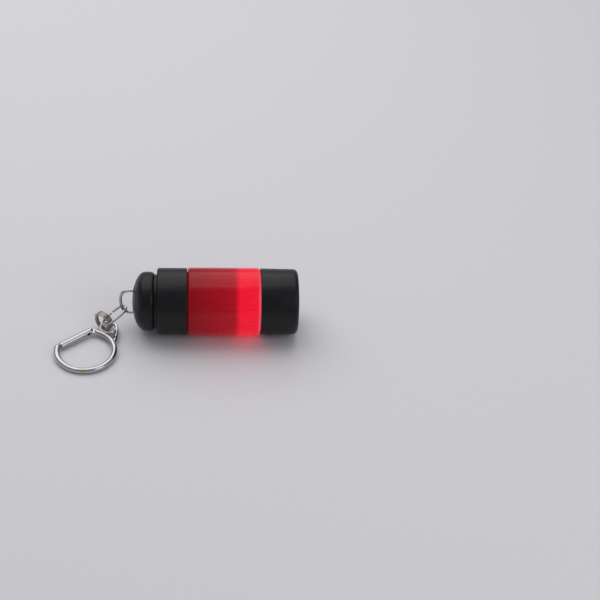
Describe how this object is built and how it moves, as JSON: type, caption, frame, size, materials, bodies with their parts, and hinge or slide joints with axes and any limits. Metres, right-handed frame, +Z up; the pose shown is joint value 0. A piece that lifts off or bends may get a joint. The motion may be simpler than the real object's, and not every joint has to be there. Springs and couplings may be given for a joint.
{
  "type": "keychain flashlight",
  "caption": "Short round flashlight with a twist head and a pull-off tail cap over a USB plug, on a chain with a spring-gate hook.",
  "frame": {"origin": "middle of the lowest flat of the barrel, where the lying flashlight touches the surface", "axes": "+X along the flashlight from tail to head, +Z up from the surface, the hook lies towards -Y"},
  "size_m": [0.0819, 0.0371, 0.0229],
  "materials": {
    "black_abs": "satin moulded",
    "red_polycarbonate": "clear gloss, lit from inside",
    "clear_polycarbonate": "polished",
    "white_plastic": "matte moulded",
    "chrome_plate": "polished",
    "nickel_wire": "bright drawn wire",
    "stamped_steel": "bright stamped",
    "gold_plate": "polished",
    "seal_rubber": "matte",
    "board_green": "solder resist",
    "chip_epoxy": "matte",
    "led_phosphor": "silicone over phosphor",
    "mirror_coat": "vacuum metallised",
    "led_board_metal": "white resist over aluminium"
  },
  "bodies": {
    "barrel": {"barrel": "red_polycarbonate", "cap_o_ring": "seal_rubber", "head_o_ring": "seal_rubber", "core_upper": "white_plastic", "core_lower": "white_plastic", "usb_shell": "stamped_steel", "usb_tongue": "white_plastic", "usb_contact_1": "gold_plate", "usb_contact_2": "gold_plate", "usb_contact_3": "gold_plate", "usb_contact_4": "gold_plate", "charge_board": "board_green", "charge_chip": "chip_epoxy", "charge_coil": "chip_epoxy", "battery_cell": "stamped_steel", "cell_tab_rear": "nickel_wire", "cell_tab_front": "nickel_wire"},
    "led_module": {"led_board": "led_board_metal", "led_emitter": "led_phosphor", "led_dome": "clear_polycarbonate", "light_tube": "clear_polycarbonate", "contact_spring": "nickel_wire"},
    "head": {"head_shell": "black_abs", "lens": "clear_polycarbonate", "lens_gasket": "seal_rubber", "reflector": "mirror_coat", "retaining_ring": "black_abs"},
    "tail_cap": {"tail_cap": "black_abs", "ring_pin": "stamped_steel"},
    "ring_link": {"ring_link": "nickel_wire"},
    "small_link": {"small_link": "nickel_wire"},
    "split_ring": {"split_ring": "nickel_wire"},
    "hook": {"hook_frame": "chrome_plate", "gate_pin": "stamped_steel"},
    "gate": {"gate": "chrome_plate", "gate_spring": "nickel_wire"}
  },
  "joints": [
    {"name": "led_press", "type": "slide", "parent": "barrel", "child": "led_module", "axis": [1, 0, 0], "range_m": [0, 0.0005]},
    {"name": "head_twist", "type": "hinge", "parent": "led_module", "child": "head", "pos_m": [0.019, 0, 0.01146], "axis": [1, 0, 0], "range_deg": [0, 120]},
    {"name": "cap_pull", "type": "slide", "parent": "barrel", "child": "tail_cap", "axis": [-1, 0, 0], "range_m": [0, 0.022]},
    {"name": "ring_swing", "type": "hinge", "parent": "tail_cap", "child": "ring_link", "pos_m": [-0.0297, 0, 0.01146], "axis": [0, 1, 0], "range_deg": [-18, 30]},
    {"name": "small_link_swing", "type": "hinge", "parent": "ring_link", "child": "small_link", "pos_m": [-0.0342, 0, 0.0083], "axis": [0, 1, 0], "range_deg": [-24, 20]},
    {"name": "split_ring_swing", "type": "hinge", "parent": "small_link", "child": "split_ring", "pos_m": [-0.03886, -0.00263, 0.00534], "axis": [0.4924, -0.8704, 0], "range_deg": [-8, 30]},
    {"name": "hook_swing", "type": "hinge", "parent": "split_ring", "child": "hook", "pos_m": [-0.04133, -0.00056, 0.00185], "axis": [0.6428, 0.766, 0], "range_deg": [-10, 84]},
    {"name": "gate_open", "type": "hinge", "parent": "hook", "child": "gate", "pos_m": [-0.04519, -0.00414, 0.00178], "axis": [0, -0.038, 0.9993], "range_deg": [0, 40], "stiffness_Nm_per_rad": 0.004, "springref_deg": -28.65}
  ],
  "couplings": [
    {"joint": "led_press", "follows": "head_twist", "m_per_rad": 0.000238}
  ]
}
